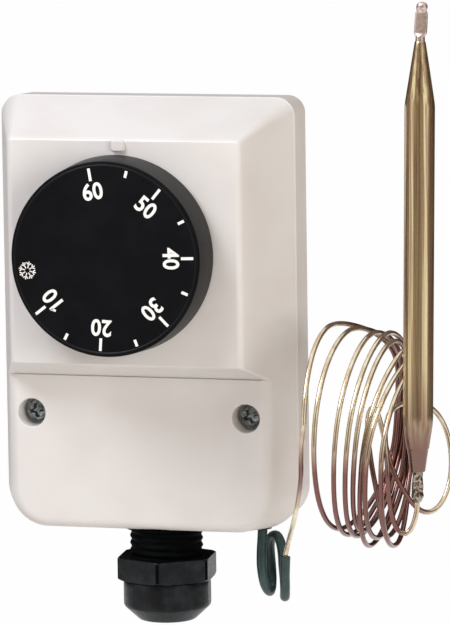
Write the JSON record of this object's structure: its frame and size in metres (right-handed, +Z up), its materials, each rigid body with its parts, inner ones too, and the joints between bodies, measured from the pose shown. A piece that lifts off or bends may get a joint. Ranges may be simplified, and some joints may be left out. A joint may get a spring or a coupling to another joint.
{
  "type": "capillary thermostat",
  "caption": "Wall-mounted capillary thermostat: dial on a sloping hood, cable gland below, and a coiled metal capillary with a slim sensing bulb.",
  "frame": {"origin": "centre of the housing's flat back face, on the wall", "axes": "+Z up along the housing's height, -Y out of the wall towards the viewer, +X to the right as seen from the front"},
  "size_m": [0.1002, 0.0458, 0.1308],
  "materials": {
    "housing_plastic": "moulded, fine satin",
    "knob_plastic": "moulded, satin",
    "gland_plastic": "moulded, satin",
    "zinc_steel": "zinc plated",
    "plain_steel": "bright",
    "brass": "turned",
    "phenolic": "moulded",
    "contact_silver": "bright",
    "ceramic": "glazed",
    "rubber": "moulded",
    "sleeve_vinyl": "extruded, satin",
    "copper_tube": "drawn, lightly tarnished"
  },
  "bodies": {
    "housing": {"base": "housing_plastic", "cover": "housing_plastic", "cover_screw_left": "zinc_steel", "cover_screw_right": "zinc_steel", "bridge": "plain_steel", "spindle_bush": "brass", "bridge_screws": "plain_steel", "switch_block": "phenolic", "switch_lid": "phenolic", "front_contact": "contact_silver", "rear_contact": "contact_silver", "terminal_common": "brass", "terminal_break": "brass", "terminal_make": "brass", "terminal_screws": "plain_steel", "earth_plate": "brass", "earth_screw": "zinc_steel", "gland_body": "gland_plastic", "gland_seal": "rubber", "gland_nut": "gland_plastic", "sleeve_bush": "rubber", "inner_capillary": "copper_tube", "sleeve": "sleeve_vinyl", "capillary_lead": "copper_tube", "capillary_coil": "copper_tube", "capillary_tail": "copper_tube", "bulb": "copper_tube", "bulb_ferrule": "copper_tube", "filling_tube": "copper_tube"},
    "dial": {"dial_knob": "knob_plastic", "spindle": "plain_steel", "retaining_ring": "plain_steel"},
    "carriage": {"setting_nut": "brass", "diaphragm": "plain_steel"},
    "plunger": {"transfer_pin": "ceramic"},
    "blade": {"snap_blade": "brass", "moving_contact": "contact_silver"}
  },
  "joints": [
    {"name": "dial_turn", "type": "hinge", "parent": "housing", "child": "dial", "pos_m": [-0.001, -0.03, 0.0141], "axis": [0, -1, 0], "range_deg": [-10.3, 262.7]},
    {"name": "carriage_slide", "type": "slide", "parent": "housing", "child": "carriage", "axis": [0, 1, 0], "range_m": [-0.00003, 0.00074]},
    {"name": "pin_slide", "type": "slide", "parent": "carriage", "child": "plunger", "axis": [0, 1, 0], "range_m": [0, 0.0005]},
    {"name": "blade_snap", "type": "hinge", "parent": "housing", "child": "blade", "pos_m": [-0.0097, -0.00627, 0.0141], "axis": [0, 0, 1], "range_deg": [0, 3.3]}
  ],
  "couplings": [
    {"joint": "carriage_slide", "follows": "dial_turn", "m_per_rad": 0.00015915},
    {"joint": "blade_snap", "follows": "pin_slide", "rad_per_m": 114.94}
  ]
}
